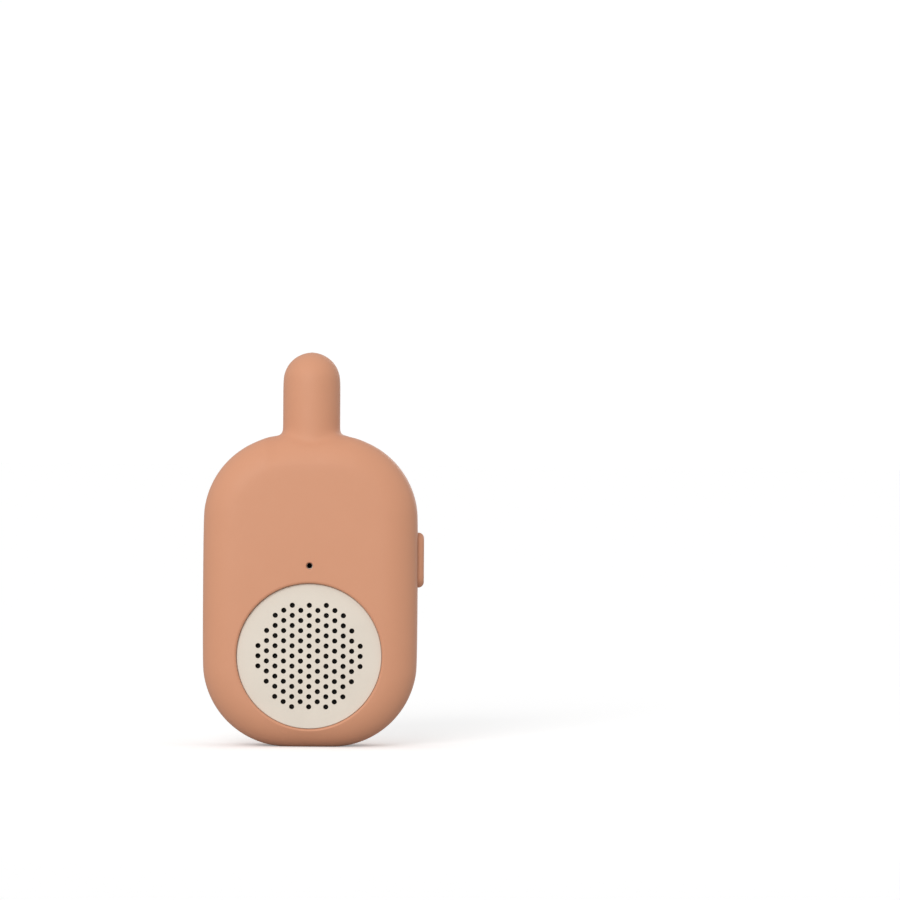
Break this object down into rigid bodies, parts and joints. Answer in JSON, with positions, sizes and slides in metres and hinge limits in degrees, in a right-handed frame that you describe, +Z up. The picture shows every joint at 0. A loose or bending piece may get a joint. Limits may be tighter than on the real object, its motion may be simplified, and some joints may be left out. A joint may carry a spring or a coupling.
{
  "type": "toy walkie talkie",
  "caption": "Small toy two-way radio in a silicone sleeve with a thick stub antenna, a round perforated speaker grille and a side talk button.",
  "frame": {"origin": "middle of the flat base of the sleeve", "axes": "+Z up along the antenna, speaker grille facing -Y, talk button on +X, battery cover facing +Y"},
  "size_m": [0.0758, 0.03, 0.135],
  "materials": {
    "sleeve_silicone": "matte terracotta silicone",
    "casing_plastic": "cream moulded ABS, fine spark texture",
    "grille_cloth": "black dust cloth",
    "black_rubber": "black rubber",
    "steel": "zinc-plated steel",
    "nickel": "nickel-plated spring steel",
    "ferrite": "dark grey ferrite",
    "cone_paper": "black pulp paper",
    "board_green": "green solder mask",
    "chip_black": "black moulded epoxy",
    "cell_wrap": "plain blue-grey shrink wrap",
    "copper": "enamelled copper wire",
    "red_insulation": "red PVC insulation",
    "black_insulation": "black PVC insulation"
  },
  "bodies": {
    "root": {"silicone_sleeve": "sleeve_silicone", "front_casing": "casing_plastic", "back_casing": "casing_plastic", "speaker_grille": "casing_plastic", "speaker_cloth": "grille_cloth", "speaker_gasket": "black_rubber", "speaker_basket": "steel", "speaker_cone": "cone_paper", "speaker_magnet": "ferrite", "ptt_switch_body": "chip_black", "power_switch_body": "chip_black", "main_board": "board_green", "radio_chip": "chip_black", "audio_chip": "chip_black", "radio_crystal": "nickel", "tuning_coil_can": "steel", "capacitor_1": "chip_black", "capacitor_2": "chip_black", "microphone": "steel", "microphone_boot": "black_rubber", "battery_link_bottom": "nickel", "battery_link_top": "nickel", "battery_terminal_negative": "nickel", "battery_terminal_positive": "nickel", "antenna_core": "ferrite", "antenna_coil": "copper", "antenna_lead": "red_insulation", "speaker_lead_black": "black_insulation", "speaker_lead_red": "red_insulation", "switch_lead_black": "black_insulation", "switch_lead_red": "red_insulation", "battery_lead_black": "black_insulation", "battery_lead_red": "red_insulation", "battery_1": "cell_wrap", "battery_spring_1": "nickel", "battery_2": "cell_wrap", "battery_spring_2": "nickel", "battery_3": "cell_wrap", "battery_spring_3": "nickel", "casing_screw_1": "steel", "casing_screw_2": "steel", "casing_screw_3": "steel", "casing_screw_4": "steel", "board_screw_1": "steel", "board_screw_2": "steel"},
    "ptt_button_body": {"ptt_button": "sleeve_silicone"},
    "ptt_plunger_body": {"ptt_switch_plunger": "casing_plastic"},
    "power_knob_body": {"power_switch_knob": "casing_plastic", "power_switch_lever": "steel"},
    "battery_cover_body": {"battery_cover": "casing_plastic"},
    "cover_screw_carrier": {"cover_screw_o_ring": "black_rubber"},
    "cover_screw_body": {"battery_cover_screw": "steel"}
  },
  "joints": [
    {"name": "ptt_press", "type": "slide", "parent": "root", "child": "ptt_button_body", "axis": [-1, 0, 0], "range_m": [0, 0.001], "stiffness_N_per_m": 900, "springref_m": -0.0006},
    {"name": "ptt_plunger_press", "type": "slide", "parent": "root", "child": "ptt_plunger_body", "axis": [-1, 0, 0], "range_m": [0, 0.00065]},
    {"name": "power_switch_slide", "type": "slide", "parent": "root", "child": "power_knob_body", "axis": [1, 0, 0], "range_m": [0, 0.004]},
    {"name": "battery_cover_hinge", "type": "hinge", "parent": "root", "child": "battery_cover_body", "pos_m": [0, 0.014, 0.0932], "axis": [1, 0, 0], "range_deg": [0, 40]},
    {"name": "cover_screw_travel", "type": "slide", "parent": "battery_cover_body", "child": "cover_screw_carrier", "axis": [0, 1, 0], "range_m": [0, 0.0036]},
    {"name": "cover_screw_turn", "type": "hinge", "parent": "cover_screw_carrier", "child": "cover_screw_body", "pos_m": [0, 0.0128, 0.037], "axis": [0, 1, 0], "range_deg": [0, 1620]}
  ],
  "couplings": [
    {"joint": "ptt_plunger_press", "follows": "ptt_press", "ratio": 0.65},
    {"joint": "cover_screw_travel", "follows": "cover_screw_turn", "m_per_rad": 0.000127}
  ]
}
